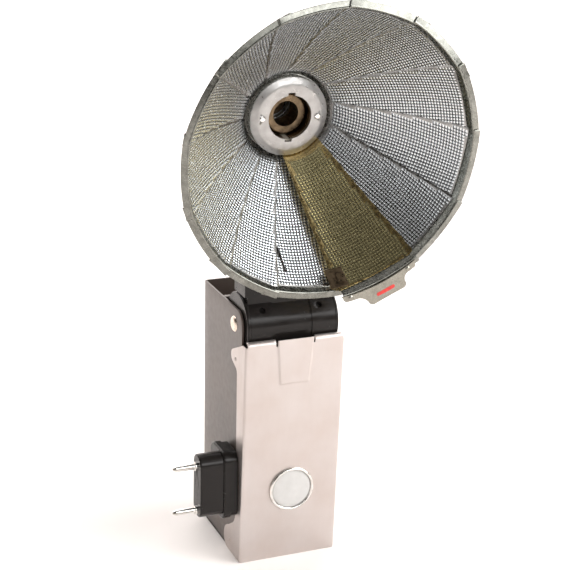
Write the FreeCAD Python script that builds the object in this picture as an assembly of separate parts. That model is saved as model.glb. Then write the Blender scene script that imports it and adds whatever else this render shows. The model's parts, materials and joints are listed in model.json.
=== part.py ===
import FreeCAD, Part
import math
import os

# Folding-fan flash gun: a sheet-steel battery case with a slide-off front cover, a two-pin
# camera plug on its left side, and a moulded head that tilts back on a cross pin. The head
# carries a lamp socket and thirteen reflector petals that fan out around it.
# Millimetres. X is to the object's right, -Y is its front, +Z is up. The origin is the
# centre of the flat base.

# ---- driving dimensions -------------------------------------------------------------
CASE_W = 37.6
CASE_H = 99.0
CASE_FRONT_Y = -20.0
CASE_BACK_Y = 22.0
CASE_WALL = 0.8
CASE_TOP_CORNER_R = 5.0

COVER_SHEET = 0.5
COVER_GAP = 0.1
COVER_BASE_Y = -22.0
COVER_H = 89.6
COVER_LEAN_DEG = 2.35
COVER_ROLL_R = 1.7
CATCH_TOP_W = 14.2
CATCH_FOOT_W = 11.4
CATCH_H = 17.5
CATCH_RISE = 0.45
CATCH_SLIT = 0.5
# (y, z) of the detent dimples on each side flange
DIMPLE_SPOTS = ((-15.1, 80.2), (-11.3, 4.6))

PIN_Y = -11.8
PIN_Z = 92.7
PIN_R = 2.0
PIN_HEAD_R = 3.0
PIN_HEAD_H = 0.8
BARREL_R = 11.7
BARREL_DRUM_R = 11.35
BARREL_HALF = 17.7
BARREL_END_T = 1.2
BARREL_BORE_R = 8.2
DRUM_HALF = 7.2

NECK_HALF_LOW = 17.5
NECK_HALF_HIGH = 12.0
NECK_LOW_Z = 110.0
NECK_HIGH_Z = 150.0

HUB_Y = -15.05
HUB_Z = 168.3
HUB_NOD_DEG = 8.25

RING_R = 14.5
RING_HOLE_R = 8.0
RING_T = 1.6
RING_BEVEL_W = 2.8
RING_BEVEL_H = 1.2
NOTCH_W = 2.5
NOTCH_DEPTH = 1.0
FACE_SCREW_PITCH_R = 10.4
FACE_SCREW_R = 0.8
FACE_SCREW_HEAD_R = 1.25

SOCKET_R = 8.6
SOCKET_BACK = -17.0
SOCKET_LIP = -3.9
INSULATOR_BACK = -24.0
INSULATOR_FLOOR_T = 1.2
SOCKET_LOWER_BORE_R = 8.3
SLOT_DEPTH = -8.0
SLOT_HOOK_W = 4.5
SLOT_HOOK_H = 2.4
COLLAR_R = 8.1
COLLAR_FRONT = -4.0
COLLAR_BACK = -12.0
MINI_BORE_R = 4.6
CONTACT_TIP = -12.8
CONTACT_FLANGE = -15.2
CONTACT_FLANGE_R = 3.9
CONTACT_TAIL = -24.6

AXLE_R = 12.85
AXLE_BORE_R = 9.05
AXLE_BACK = -9.0
AXLE_FLANGE_R = 16.0
AXLE_FLANGE_T = 1.6
CUP_R = 16.0
CUP_BACK = -29.0
CUP_BORE_R = 12.0
CUP_WALL = 2.5
CAP_EDGE_R = 0.9
CAP_SCREW_PITCH_R = 13.3

PETAL_COUNT = 13
PETAL_PITCH = 0.36
PETAL_T = 0.24
PETAL_BORE_R = 12.95
PETAL_RING_R = 14.6
PETAL_EDGE_DEG = 12.8
PETAL_EDGE_OFFSET = 3.6
PETAL_CORNER_R = 53.2
PETAL_RIM_BULGE = 1.6
# radius and height above the ring face, for the petal in the middle of the stack
PETAL_PROFILE = [
    (14.8, -4.4),
    (16.8, -1.3),
    (20.0, 2.2),
    (25.0, 7.1),
    (30.0, 12.3),
    (35.0, 17.8),
    (40.0, 23.8),
    (45.0, 30.3),
    (49.1, 36.1),
    (50.6, 38.9),
]
# where each petal's middle stands when the fan is open, seen from the front, anticlockwise
# from the object's right; they are pushed round by hand and so are not quite even
PETAL_MIDDLE_DEG = [-97, -124, -148, -176, -205, -232, -260, -287, -314, -341, -369, -398, -425]

TAB_T = 0.6
TAB_IN_R = 51.2
TAB_BAND_R = 53.5
TAB_OUT_R = 58.0
# radius and angle of the tab's two rivets
RIVET_SPOTS = ((52.3, -79.0), (52.3, -54.0))
RIVET_R = 0.6
LATCH_T = 0.5

PLUG_Y = -15.7
PLUG_PIN_Z = (22.2, 40.0)
PLUG_BODY_R = 4.45
PLUG_BASE_Y = (-20.6, -4.4)
PLUG_BASE_Z = (17.4, 45.2)
PLUG_BASE_CORNER_R = 4.6
PLUG_FOOT_Y = (-16.7, -5.2)
PLUG_FOOT_Z = (20.0, 42.6)
PLUG_FOOT_X = -19.7
PLUG_GROOVE_X = -22.4
PLUG_SCREW_Y = -9.0
PLUG_BASE_X = -25.2
PLUG_END_X = -34.2
PLUG_PIN_R = 1.15
PLUG_PIN_TIP_X = -43.7
PLUG_PIN_TAIL_X = -13.5
PLUG_PIN_TAIL_R = 0.75
PLUG_PIN_SLIT = 0.34

BADGE_X = 0.5
BADGE_UP = 28.7
BADGE_R = 8.9
BADGE_DISC_R = 7.7
BADGE_T = 1.1

STOP_BAR_Y = (0.3, 2.5)
STOP_BAR_Z = (97.9, 99.0)

BATTERY_X = (-13.5, 13.5)
BATTERY_Y = (3.0, 19.5)
BATTERY_Z = (16.0, 67.0)
BATTERY_STUD_H = 1.2
CRADLE_T = 1.2
CRADLE_GAP = 0.4
CRADLE_FLOOR_Z = BATTERY_Z[0] - 2.8
CRADLE_ROOF_Z = BATTERY_Z[1] + 4.8
CONTACT_SHEET = 0.4
CONTACT_HALF_D = 3.0

FINE = 0.1

V = FreeCAD.Vector
X_AXIS = V(1, 0, 0)
Y_AXIS = V(0, 1, 0)
Z_AXIS = V(0, 0, 1)
ORIGIN = V(0, 0, 0)
HALF_W = CASE_W / 2
PLUG_MIDDLE_Z = (PLUG_PIN_Z[0] + PLUG_PIN_Z[1]) / 2
BARREL_SCREW_X = (-11.5, 10.5)
BARREL_SCREW_UP = math.radians(38)
BARREL_SCREW_R = 1.2

os.makedirs("parts", exist_ok=True)


# ---- small helpers ------------------------------------------------------------------
def save(name, *solids):
    shape = solids[0] if len(solids) == 1 else Part.makeCompound(list(solids))
    shape.exportStep("parts/" + name + ".step")
    kinds = "ok" if shape.isValid() else "INVALID"
    print(name, kinds, len(shape.Solids), round(shape.Volume, 1))


def box(x0, x1, y0, y1, z0, z1):
    return Part.makeBox(x1 - x0, y1 - y0, z1 - z0, V(x0, y0, z0))


def rod(start, direction, radius, length):
    return Part.makeCylinder(radius, length, start, direction)


def tube(start, direction, outer, inner, length):
    return rod(start, direction, outer, length).cut(rod(start, direction, inner, length))


def line(a, b):
    return Part.LineSegment(a, b).toShape()


def arc(a, middle, b):
    return Part.Arc(a, middle, b).toShape()


def polygon(points):
    return Part.makePolygon(points + [points[0]])


def plate(wire, direction):
    """A flat plate: the closed wire filled and pushed along direction."""
    return Part.Face(wire).extrude(direction)


def side_plate(points, x0, x1):
    """A plate across X with the given (y, z) outline."""
    return plate(polygon([V(x0, y, z) for y, z in points]), V(x1 - x0, 0, 0))


def rounded_block(x0, x1, y_span, z_span, radius):
    """A block along X whose four long edges are rounded."""
    block = box(x0, x1, *y_span, *z_span)
    edges = [e for e in block.Edges if abs(e.Curve.Direction.x) > 0.5]
    return block.makeFillet(radius, edges)


def moved(shape, placement):
    copy = shape.copy()
    copy.Placement = placement.multiply(shape.Placement)
    return copy


def head(shape):
    """Places a shape made about the hub's own axis: its +Z points out of the reflector."""
    return moved(shape, FreeCAD.Placement(V(0, HUB_Y, HUB_Z), FreeCAD.Rotation(X_AXIS, 90 + HUB_NOD_DEG)))


def turned(shape, degrees):
    """A copy turned about the hub's own axis."""
    copy = shape.copy()
    copy.rotate(ORIGIN, Z_AXIS, degrees)
    return copy


def spring(radius, wire_r, z0, z1, turns):
    """A helical spring along +Z from z0 to z1."""
    height = z1 - z0 - 2 * wire_r
    path = Part.makeHelix(height / turns, height, radius)
    ring = Part.Wire(Part.Circle(V(radius, 0, 0), Y_AXIS, wire_r).toShape())
    coil = Part.Wire(path.Edges).makePipeShell([ring], True, True)
    coil.translate(V(0, 0, z0 + wire_r))
    return coil


# ---- case ---------------------------------------------------------------------------
def case_shell():
    outer = box(-HALF_W, HALF_W, CASE_FRONT_Y, CASE_BACK_Y, 0, CASE_H)
    inner = box(-HALF_W + CASE_WALL, HALF_W - CASE_WALL, CASE_FRONT_Y - 1, CASE_BACK_Y - CASE_WALL,
                CASE_WALL, CASE_H + 1)
    shell = outer.cut(inner)
    corner = CASE_TOP_CORNER_R
    centre = V(-HALF_W - 1, CASE_FRONT_Y + corner, CASE_H - corner)
    offcut = box(-HALF_W - 1, HALF_W + 1, CASE_FRONT_Y - 1, CASE_FRONT_Y + corner, CASE_H - corner, CASE_H + 1)
    shell = shell.cut(offcut.cut(rod(centre, X_AXIS, corner, CASE_W + 2)))
    shell = shell.cut(rod(V(-HALF_W - 1, PIN_Y, PIN_Z), X_AXIS, PIN_R, CASE_W + 2))
    for z in PLUG_PIN_Z:
        shell = shell.cut(rod(V(-HALF_W - 1, PLUG_Y, z), X_AXIS, PLUG_PIN_TAIL_R + 1.2, 3))
    shell = shell.cut(rod(V(-HALF_W - 1, PLUG_SCREW_Y, PLUG_MIDDLE_Z), X_AXIS, FACE_SCREW_R, 3))
    return shell.removeSplitter()


def stop_bar():
    return box(-HALF_W + CASE_WALL, HALF_W - CASE_WALL, *STOP_BAR_Y, *STOP_BAR_Z)


def hinge_pin():
    shank = rod(V(-HALF_W, PIN_Y, PIN_Z), X_AXIS, PIN_R, CASE_W)
    pin = shank
    for side in (-1, 1):
        face = V(side * HALF_W, PIN_Y, PIN_Z)
        pin = pin.fuse(Part.makeCone(PIN_HEAD_R, PIN_HEAD_R * 0.6, PIN_HEAD_H, face, V(side, 0, 0)))
    return pin.removeSplitter()


# ---- front cover --------------------------------------------------------------------
LEAN = math.tan(math.radians(COVER_LEAN_DEG))
COVER_HALF = HALF_W + COVER_GAP + COVER_SHEET


def panel_y(z):
    """The front panel's outer face at height z."""
    return COVER_BASE_Y - z * LEAN


def flange_outline(x):
    """A side flange's outline: a narrow strip between a large foot lobe and a small top lobe."""
    def p(y, z):
        return V(x, y, z)

    front_low = p(panel_y(0), 0)
    front_high = p(panel_y(COVER_H), COVER_H)
    foot = [
        line(front_low, p(-6.8, 0)),
        arc(p(-6.8, 0), p(-4.6, 5.4), p(-8.8, 9.9)),
        line(p(-8.8, 9.9), p(-12.8, 12.6)),
        arc(p(-12.8, 12.6), p(-15.8, 15.4), p(-16.8, 19.0)),
    ]
    top = [
        line(p(-16.8, 19.0), p(-16.8, 74.2)),
        arc(p(-16.8, 74.2), p(-16.4, 76.2), p(-14.8, 77.3)),
        line(p(-14.8, 77.3), p(-12.5, 78.3)),
        arc(p(-12.5, 78.3), p(-10.5, 80.8), p(-12.1, 83.2)),
        line(p(-12.1, 83.2), p(-19.6, 86.6)),
        line(p(-19.6, 86.6), front_high),
    ]
    return Part.Wire(foot + top + [line(front_high, front_low)])


def cover_panel(half_from, half_to, rolled):
    """A strip of the front panel across X, with its top edge rolled back when asked."""
    roll = COVER_ROLL_R
    top_y = panel_y(COVER_H - roll)

    def section(inset):
        radius = roll - inset
        centre = V(half_from, top_y + roll, COVER_H - roll)
        shoulder = V(half_from, top_y + inset, COVER_H - roll)
        crown = centre + V(0, -radius * math.sqrt(0.5), radius * math.sqrt(0.5))
        rear = centre + V(0, 0, radius)
        return shoulder, crown, rear

    if not rolled:
        points = [(COVER_BASE_Y, 0), (COVER_BASE_Y + COVER_SHEET, 0),
                  (panel_y(COVER_H) + COVER_SHEET, COVER_H), (panel_y(COVER_H), COVER_H)]
        return side_plate(points, half_from, half_to)
    outer = section(0)
    inner = section(COVER_SHEET)
    foot_out = V(half_from, COVER_BASE_Y, 0)
    foot_in = V(half_from, COVER_BASE_Y + COVER_SHEET, 0)
    wire = Part.Wire([
        line(foot_out, outer[0]),
        arc(*outer),
        line(outer[2], inner[2]),
        arc(inner[2], inner[1], inner[0]),
        line(inner[0], foot_in),
        line(foot_in, foot_out),
    ])
    return plate(wire, V(half_to - half_from, 0, 0))


def front_cover():
    tongue = CATCH_TOP_W / 2 + CATCH_SLIT
    cover = cover_panel(-COVER_HALF, COVER_HALF, True)
    roll_band = box(-tongue, tongue, panel_y(COVER_H) - 1, panel_y(COVER_H) + 3,
                    COVER_H - COVER_ROLL_R - 0.4, COVER_H + 1)
    cover = cover.cut(roll_band)
    centre = cover_panel(-CATCH_TOP_W / 2, CATCH_TOP_W / 2, False)
    cover = cover.fuse(centre)
    for side in (-1, 1):
        x = side * (HALF_W + COVER_GAP)
        flange = plate(flange_outline(x), V(side * COVER_SHEET, 0, 0))
        cover = cover.fuse(flange)
    cover = cover.fuse(catch_pad())
    for side in (-1, 1):
        for y, z in DIMPLE_SPOTS:
            bead = Part.makeCone(0.95, 0.45, 0.45, V(side * (COVER_HALF - FINE), y, z), V(side, 0, 0))
            cover = cover.fuse(bead)
    return cover.removeSplitter()


def on_panel(shape):
    """Places a shape made flat in X and Y, with +Z as its front, on the leaning front panel."""
    return moved(shape, FreeCAD.Placement(V(0, COVER_BASE_Y, 0), FreeCAD.Rotation(X_AXIS, 90 + COVER_LEAN_DEG)))


def catch_pad():
    """The pressed-out thumb catch in the middle of the panel's top edge."""
    top = COVER_H / math.cos(math.radians(COVER_LEAN_DEG))
    foot = top - CATCH_H
    points = [V(-CATCH_TOP_W / 2, top, -0.2), V(CATCH_TOP_W / 2, top, -0.2),
              V(CATCH_FOOT_W / 2, foot, -0.2), V(-CATCH_FOOT_W / 2, foot, -0.2)]
    return on_panel(plate(polygon(points), V(0, 0, CATCH_RISE + 0.2)))


def badge_ring():
    at = V(BADGE_X, BADGE_UP, 0)
    ring = Part.makeCone(BADGE_R, BADGE_R - 0.5, BADGE_T, at)
    ring = ring.cut(rod(at, Z_AXIS, BADGE_DISC_R + 0.05, BADGE_T))
    return on_panel(ring)


def badge_disc():
    at = V(BADGE_X, BADGE_UP, 0)
    disc = rod(at, Z_AXIS, BADGE_DISC_R, 0.7)
    dome = Part.makeCone(BADGE_DISC_R, BADGE_DISC_R * 0.55, 0.35, at + V(0, 0, 0.7))
    return on_panel(disc.fuse(dome).removeSplitter())


# ---- plug ---------------------------------------------------------------------------
def pin_channels(shape):
    for z in PLUG_PIN_Z:
        shape = shape.cut(rod(V(PLUG_END_X - 1, PLUG_Y, z), X_AXIS, PLUG_PIN_R, 40))
    return shape


def plug_base():
    """The block's foot, its waist and its wider rim; the cover's side strip passes in front of the foot."""
    foot = rounded_block(PLUG_FOOT_X, -HALF_W, PLUG_FOOT_Y, PLUG_FOOT_Z, 2.0)
    waist_y = (PLUG_BASE_Y[0] + 0.5, PLUG_BASE_Y[1] - 0.5)
    waist_z = (PLUG_BASE_Z[0] + 0.6, PLUG_BASE_Z[1] - 0.6)
    waist = rounded_block(PLUG_GROOVE_X, PLUG_FOOT_X, waist_y, waist_z, PLUG_BASE_CORNER_R - 0.5)
    rim = rounded_block(PLUG_BASE_X, PLUG_GROOVE_X, PLUG_BASE_Y, PLUG_BASE_Z, PLUG_BASE_CORNER_R)
    outer = [e for e in rim.Edges if abs(e.CenterOfMass.x - PLUG_BASE_X) < FINE]
    base = foot.fuse([waist, rim.makeFillet(0.7, outer)]).removeSplitter()
    for z in PLUG_PIN_Z:
        base = base.cut(rod(V(PLUG_BASE_X - 1, PLUG_Y, z), X_AXIS, PLUG_PIN_TAIL_R, 10))
    return base.cut(rod(V(-HALF_W - 4, PLUG_SCREW_Y, PLUG_MIDDLE_Z), X_AXIS, FACE_SCREW_R, 5))


def plug_body():
    y_span = (PLUG_Y - PLUG_BODY_R, PLUG_Y + PLUG_BODY_R)
    z_span = (PLUG_PIN_Z[0] - PLUG_BODY_R + 1.6, PLUG_PIN_Z[1] + PLUG_BODY_R)
    body = rounded_block(PLUG_END_X, PLUG_BASE_X, y_span, z_span, PLUG_BODY_R - FINE)
    edges = [e for e in body.Edges if abs(e.CenterOfMass.x - PLUG_END_X) < FINE]
    return pin_channels(body.makeFillet(0.6, edges))


def plug_pin(z):
    start = V(PLUG_PIN_TIP_X + PLUG_PIN_R, PLUG_Y, z)
    pin = rod(start, X_AXIS, PLUG_PIN_R, PLUG_BASE_X - start.x)
    tail = rod(V(PLUG_BASE_X, PLUG_Y, z), X_AXIS, PLUG_PIN_TAIL_R, PLUG_PIN_TAIL_X - PLUG_BASE_X)
    tip = Part.makeCone(PLUG_PIN_R, PLUG_PIN_R * 0.45, PLUG_PIN_R, start, V(-1, 0, 0))
    collar = rod(V(PLUG_END_X - 1.0, PLUG_Y, z), X_AXIS, PLUG_PIN_R + 0.6, 1.0)
    half = PLUG_PIN_SLIT / 2
    slit = box(PLUG_PIN_TIP_X - 1, PLUG_END_X - 1.8, PLUG_Y - 2, PLUG_Y + 2, z - half, z + half)
    return pin.fuse([tail, tip, collar]).removeSplitter().cut(slit)


def plug_screw():
    inner_face = -HALF_W + CASE_WALL
    shank = rod(V(-HALF_W - 4, PLUG_SCREW_Y, PLUG_MIDDLE_Z), X_AXIS, FACE_SCREW_R, inner_face + HALF_W + 4)
    return shank.fuse(rod(V(inner_face, PLUG_SCREW_Y, PLUG_MIDDLE_Z), X_AXIS, 1.9, 1.1)).removeSplitter()


# ---- inside the case ----------------------------------------------------------------
def battery():
    body = box(*BATTERY_X, *BATTERY_Y, *BATTERY_Z)
    edges = [e for e in body.Edges if abs(e.Curve.Direction.z) > 0.5]
    body = body.makeFillet(1.5, edges)
    stud = rod(V(0, sum(BATTERY_Y) / 2, BATTERY_Z[1]), Z_AXIS, 2.4, BATTERY_STUD_H)
    return body.fuse(stud).removeSplitter()


def battery_cradle():
    """A box open at the back, where the case's wall closes it, with a window in its front."""
    x0, x1 = BATTERY_X[0] - CRADLE_GAP, BATTERY_X[1] + CRADLE_GAP
    y0, y1 = BATTERY_Y[0] - CRADLE_GAP, CASE_BACK_Y - CASE_WALL
    outer = box(x0 - CRADLE_T, x1 + CRADLE_T, y0 - CRADLE_T, y1,
                CRADLE_FLOOR_Z - CRADLE_T, CRADLE_ROOF_Z + CRADLE_T)
    inner = box(x0, x1, y0, y1, CRADLE_FLOOR_Z, CRADLE_ROOF_Z)
    window = box(x0 + 4, x1 - 4, y0 - CRADLE_T - 1, y0 + 1, BATTERY_Z[0] + 6, BATTERY_Z[1] - 6)
    return outer.cut(inner).cut(window)


def contact_leaf(fixed_z, touch_z):
    """A bent strip that stands on the cradle and presses on one end of the battery."""
    y0 = sum(BATTERY_Y) / 2 - CONTACT_HALF_D
    y1 = sum(BATTERY_Y) / 2 + CONTACT_HALF_D
    knee_z = fixed_z + (CONTACT_SHEET if touch_z > fixed_z else -CONTACT_SHEET)
    flat = box(-5, 5, y0, y1, *sorted((fixed_z, knee_z)))
    return flat.fuse(box(-2, 2, y0, y1, *sorted((knee_z, touch_z)))).removeSplitter()


def capacitor():
    can = rod(V(9.5, -10.5, 20.0), Z_AXIS, 6.5, 36.0)
    lead = [rod(V(9.5, -10.5, z), Z_AXIS, 0.4, 4.0) for z in (16.0, 56.0)]
    return can.fuse(lead).removeSplitter()


def resistor():
    body = rod(V(-2.0, -6.0, 46.0), Z_AXIS, 1.8, 10.0)
    leads = [rod(V(-2.0, -6.0, z), Z_AXIS, 0.35, 5.0) for z in (41.0, 56.0)]
    return body.fuse(leads).removeSplitter()


def terminal_board():
    board = box(-HALF_W + CASE_WALL, HALF_W - CASE_WALL, -17.0, 0.6, 74.5, 76.0)
    for x in (-12.0, 12.0):
        board = board.cut(rod(V(x, -5.0, 74.0), Z_AXIS, 1.2, 3))
    return board


def eyelets():
    made = []
    for x in (-12.0, 12.0):
        barrel = rod(V(x, -5.0, 74.5), Z_AXIS, 1.2, 1.5)
        flange = rod(V(x, -5.0, 76.0), Z_AXIS, 2.0, 0.4)
        made.append(barrel.fuse(flange).removeSplitter())
    return made


def detent_spring():
    """A leaf on the terminal board whose bow stands just clear of the hinge drum."""
    foot = box(-3.5, 3.5, -8.0, 0.4, 76.0, 76.5)
    post = box(-3.5, 3.5, -8.5, -8.0, 76.0, 80.3)
    bow = box(-3.5, 3.5, -14.0, -8.5, 79.8, 80.3)
    return foot.fuse([post, bow]).removeSplitter()


# ---- tilting head -------------------------------------------------------------------
def barrel_screw_way():
    """The barrel's two screws point out of its front, above the middle."""
    return V(0, -math.cos(BARREL_SCREW_UP), math.sin(BARREL_SCREW_UP))


def head_moulding():
    half = BARREL_HALF - BARREL_END_T
    barrel = rod(V(-half, PIN_Y, PIN_Z), X_AXIS, BARREL_R, 2 * half)
    waist = tube(V(-DRUM_HALF, PIN_Y, PIN_Z), X_AXIS, BARREL_R + 1, BARREL_DRUM_R, 2 * DRUM_HALF)
    lower = side_plate([(-18.5, PIN_Z + 2), (-19.0, 104.0), (-19.0, 128.0), (-12.5, 141.0), (-6.0, 150.0),
                        (-3.0, 162.0), (9.0, 162.0), (6.0, 148.0), (-8.3, 122.0), (-8.3, PIN_Z + 2)],
                       -NECK_HALF_LOW, NECK_HALF_LOW)
    taper = polygon([V(-NECK_HALF_LOW, -40, 0), V(NECK_HALF_LOW, -40, 0), V(NECK_HALF_LOW, -40, NECK_LOW_Z),
                     V(NECK_HALF_HIGH, -40, NECK_HIGH_Z), V(NECK_HALF_HIGH, -40, 200),
                     V(-NECK_HALF_HIGH, -40, 200), V(-NECK_HALF_HIGH, -40, NECK_HIGH_Z),
                     V(-NECK_HALF_LOW, -40, NECK_LOW_Z)])
    neck = lower.common(plate(taper, V(0, 80, 0)))
    end_cut = box(half, BARREL_HALF + 1, -60, 30, 0, PIN_Z + BARREL_R + 0.3)
    neck = neck.cut(end_cut).cut(end_cut.mirror(ORIGIN, X_AXIS))
    neck = neck.cut(head(rod(V(0, 0, AXLE_BACK), Z_AXIS, AXLE_FLANGE_R + 1, 20)))
    cup = head(rod(V(0, 0, CUP_BACK), Z_AXIS, CUP_R, AXLE_BACK - CUP_BACK))
    moulding = barrel.cut(waist).fuse([neck, cup]).removeSplitter()
    cavity_top = AXLE_BACK - CUP_WALL
    moulding = moulding.cut(head(rod(V(0, 0, CUP_BACK), Z_AXIS, CUP_BORE_R, cavity_top - CUP_BACK)))
    moulding = moulding.cut(head(rod(V(0, 0, cavity_top), Z_AXIS, AXLE_BORE_R, CUP_WALL)))
    moulding = moulding.cut(rod(V(-half, PIN_Y, PIN_Z), X_AXIS, BARREL_BORE_R, half - DRUM_HALF))
    moulding = moulding.cut(rod(V(DRUM_HALF, PIN_Y, PIN_Z), X_AXIS, BARREL_BORE_R, half - DRUM_HALF))
    moulding = moulding.cut(rod(V(-half, PIN_Y, PIN_Z), X_AXIS, PIN_R + 0.06, 2 * half))
    for x in BARREL_SCREW_X:
        away = barrel_screw_way()
        outside = V(x, PIN_Y, PIN_Z) + away * (BARREL_R + 1)
        moulding = moulding.cut(rod(outside, away * -1, BARREL_SCREW_R, 3.5))
    for screw_x in (-FACE_SCREW_PITCH_R, FACE_SCREW_PITCH_R):
        moulding = moulding.cut(head(rod(V(screw_x, 0, cavity_top), Z_AXIS, FACE_SCREW_R, CUP_WALL)))
    return moulding


def barrel_end(side):
    inner = side * (BARREL_HALF - BARREL_END_T)
    start = V(inner, PIN_Y, PIN_Z)
    disc = Part.makeCylinder(BARREL_R, BARREL_END_T, start, V(side, 0, 0))
    outer = [e for e in disc.Edges if abs(e.CenterOfMass.x - side * BARREL_HALF) < FINE and e.Length > 5]
    disc = disc.makeFillet(0.5, outer)
    spigot = rod(start, V(-side, 0, 0), BARREL_BORE_R - 0.05, 2.0)
    bore = rod(start - V(side * 3, 0, 0), V(side, 0, 0), PIN_R + 0.06, 6)
    return disc.fuse(spigot).removeSplitter().cut(bore)


def barrel_screws():
    away = barrel_screw_way()
    seats = [V(x, PIN_Y, PIN_Z) + away * (BARREL_R - 2.5) for x in BARREL_SCREW_X]
    return [rod(seat, away, BARREL_SCREW_R, 1.3) for seat in seats]


def fan_axle():
    sleeve = tube(V(0, 0, AXLE_BACK), Z_AXIS, AXLE_R, AXLE_BORE_R, -RING_T - AXLE_BACK)
    flange = tube(V(0, 0, AXLE_BACK), Z_AXIS, AXLE_FLANGE_R, AXLE_BORE_R, AXLE_FLANGE_T)
    axle = sleeve.fuse(flange).removeSplitter()
    for x in (-FACE_SCREW_PITCH_R, FACE_SCREW_PITCH_R):
        axle = axle.cut(rod(V(x, 0, AXLE_BACK), Z_AXIS, FACE_SCREW_R, 10))
    return head(axle)


def face_ring():
    ring = rod(V(0, 0, -RING_T), Z_AXIS, RING_R, RING_T - RING_BEVEL_H)
    bevel = Part.makeCone(RING_R, RING_R - RING_BEVEL_W, RING_BEVEL_H, V(0, 0, -RING_BEVEL_H))
    ring = ring.fuse(bevel).removeSplitter().cut(rod(V(0, 0, -RING_T), Z_AXIS, RING_HOLE_R, RING_T))
    reach = RING_HOLE_R + NOTCH_DEPTH
    ring = ring.cut(box(-NOTCH_W / 2, NOTCH_W / 2, -reach, reach, -RING_T, 1))
    for x in (-FACE_SCREW_PITCH_R, FACE_SCREW_PITCH_R):
        ring = ring.cut(rod(V(x, 0, -RING_T), Z_AXIS, FACE_SCREW_R, 3))
    return head(ring)


def face_screws():
    made = []
    for x in (-FACE_SCREW_PITCH_R, FACE_SCREW_PITCH_R):
        deep = AXLE_BACK - CUP_WALL
        shank = rod(V(x, 0, deep), Z_AXIS, FACE_SCREW_R, -deep)
        crown = Part.makeCone(FACE_SCREW_HEAD_R, 0.8, 0.5, V(x, 0, 0))
        slot = box(x - 2, x + 2, -0.15, 0.15, 0.25, 1)
        made.append(head(shank.fuse(crown).removeSplitter().cut(slot)))
    return made


def wave_washer():
    return head(tube(V(0, 0, -RING_T - 0.32), Z_AXIS, 14.3, AXLE_R + 0.1, 0.25))


def lamp_socket():
    """The brass shell: a lip as wide as the ring's hole, a wider bore below it, and two hooked slots."""
    shell = tube(V(0, 0, SOCKET_BACK), Z_AXIS, SOCKET_R, RING_HOLE_R, -RING_T - SOCKET_BACK)
    shell = shell.cut(rod(V(0, 0, SOCKET_BACK), Z_AXIS, SOCKET_LOWER_BORE_R, SOCKET_LIP - SOCKET_BACK))
    reach = RING_HOLE_R + NOTCH_DEPTH
    slot = box(-NOTCH_W / 2, NOTCH_W / 2, -reach, reach, SLOT_DEPTH, 0)
    hook = box(0, SLOT_HOOK_W, 0, reach, SLOT_DEPTH, SLOT_DEPTH + SLOT_HOOK_H)
    return head(shell.cut([slot, hook, turned(hook, 180)]))


def socket_insulator():
    back = V(0, 0, INSULATOR_BACK)
    sleeve = tube(back, Z_AXIS, AXLE_BORE_R - 0.05, SOCKET_R, -RING_T - INSULATOR_BACK)
    floor = tube(back, Z_AXIS, SOCKET_R, 1.4, INSULATOR_FLOOR_T)
    return head(sleeve.fuse(floor).removeSplitter())


def mini_collar():
    """The sprung brass collar that takes a small 9 mm lamp base inside the large socket."""
    length = COLLAR_FRONT - COLLAR_BACK
    body = rod(V(0, 0, COLLAR_BACK), Z_AXIS, COLLAR_R, length - 1.0)
    lead = Part.makeCone(COLLAR_R, COLLAR_R - 1.0, 1.0, V(0, 0, COLLAR_FRONT - 1.0))
    bore = rod(V(0, 0, COLLAR_BACK), Z_AXIS, MINI_BORE_R, length)
    return head(body.fuse(lead).removeSplitter().cut(bore))


def collar_spring():
    return head(spring(6.8, 0.35, INSULATOR_BACK + INSULATOR_FLOOR_T, COLLAR_BACK, 4))


def contact_plunger():
    tip = Part.makeCone(1.5, 0.7, 0.8, V(0, 0, CONTACT_TIP - 0.8))
    upper = rod(V(0, 0, CONTACT_FLANGE), Z_AXIS, 1.5, CONTACT_TIP - 0.8 - CONTACT_FLANGE)
    flange = rod(V(0, 0, CONTACT_FLANGE - 0.8), Z_AXIS, CONTACT_FLANGE_R, 0.8)
    stem = rod(V(0, 0, CONTACT_TAIL), Z_AXIS, 1.3, CONTACT_FLANGE - 0.8 - CONTACT_TAIL)
    return head(tip.fuse([upper, flange, stem]).removeSplitter())


def contact_spring():
    return head(spring(3.3, 0.4, INSULATOR_BACK + INSULATOR_FLOOR_T, CONTACT_FLANGE - 0.8, 5))


def rear_cap():
    cap = rod(V(0, 0, CUP_BACK - 2.0), Z_AXIS, CUP_R, 2.0)
    outer = [e for e in cap.Edges if abs(e.CenterOfMass.z - (CUP_BACK - 2.0)) < FINE and e.Length > 5]
    cap = cap.makeFillet(CAP_EDGE_R, outer)
    spigot = tube(V(0, 0, CUP_BACK), Z_AXIS, CUP_BORE_R - 0.05, CUP_BORE_R - 1.5, 1.5)
    cap = cap.fuse(spigot).removeSplitter()
    for x in (-CAP_SCREW_PITCH_R, CAP_SCREW_PITCH_R):
        cap = cap.cut(rod(V(x, 0, CUP_BACK - 3), Z_AXIS, FACE_SCREW_R, 4))
    return head(cap)


def cap_screws():
    made = []
    for x in (-CAP_SCREW_PITCH_R, CAP_SCREW_PITCH_R):
        shank = rod(V(x, 0, CUP_BACK - 2.0), Z_AXIS, FACE_SCREW_R, 2.0)
        crown = Part.makeCone(0.9, 1.4, 0.6, V(x, 0, CUP_BACK - 2.6))
        made.append(head(shank.fuse(crown).removeSplitter()))
    return made


# ---- reflector petals ---------------------------------------------------------------
def petal_height(index):
    """How far a petal stands in front of the middle one of the stack."""
    return (index - (PETAL_COUNT - 1) / 2) * PETAL_PITCH


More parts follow.
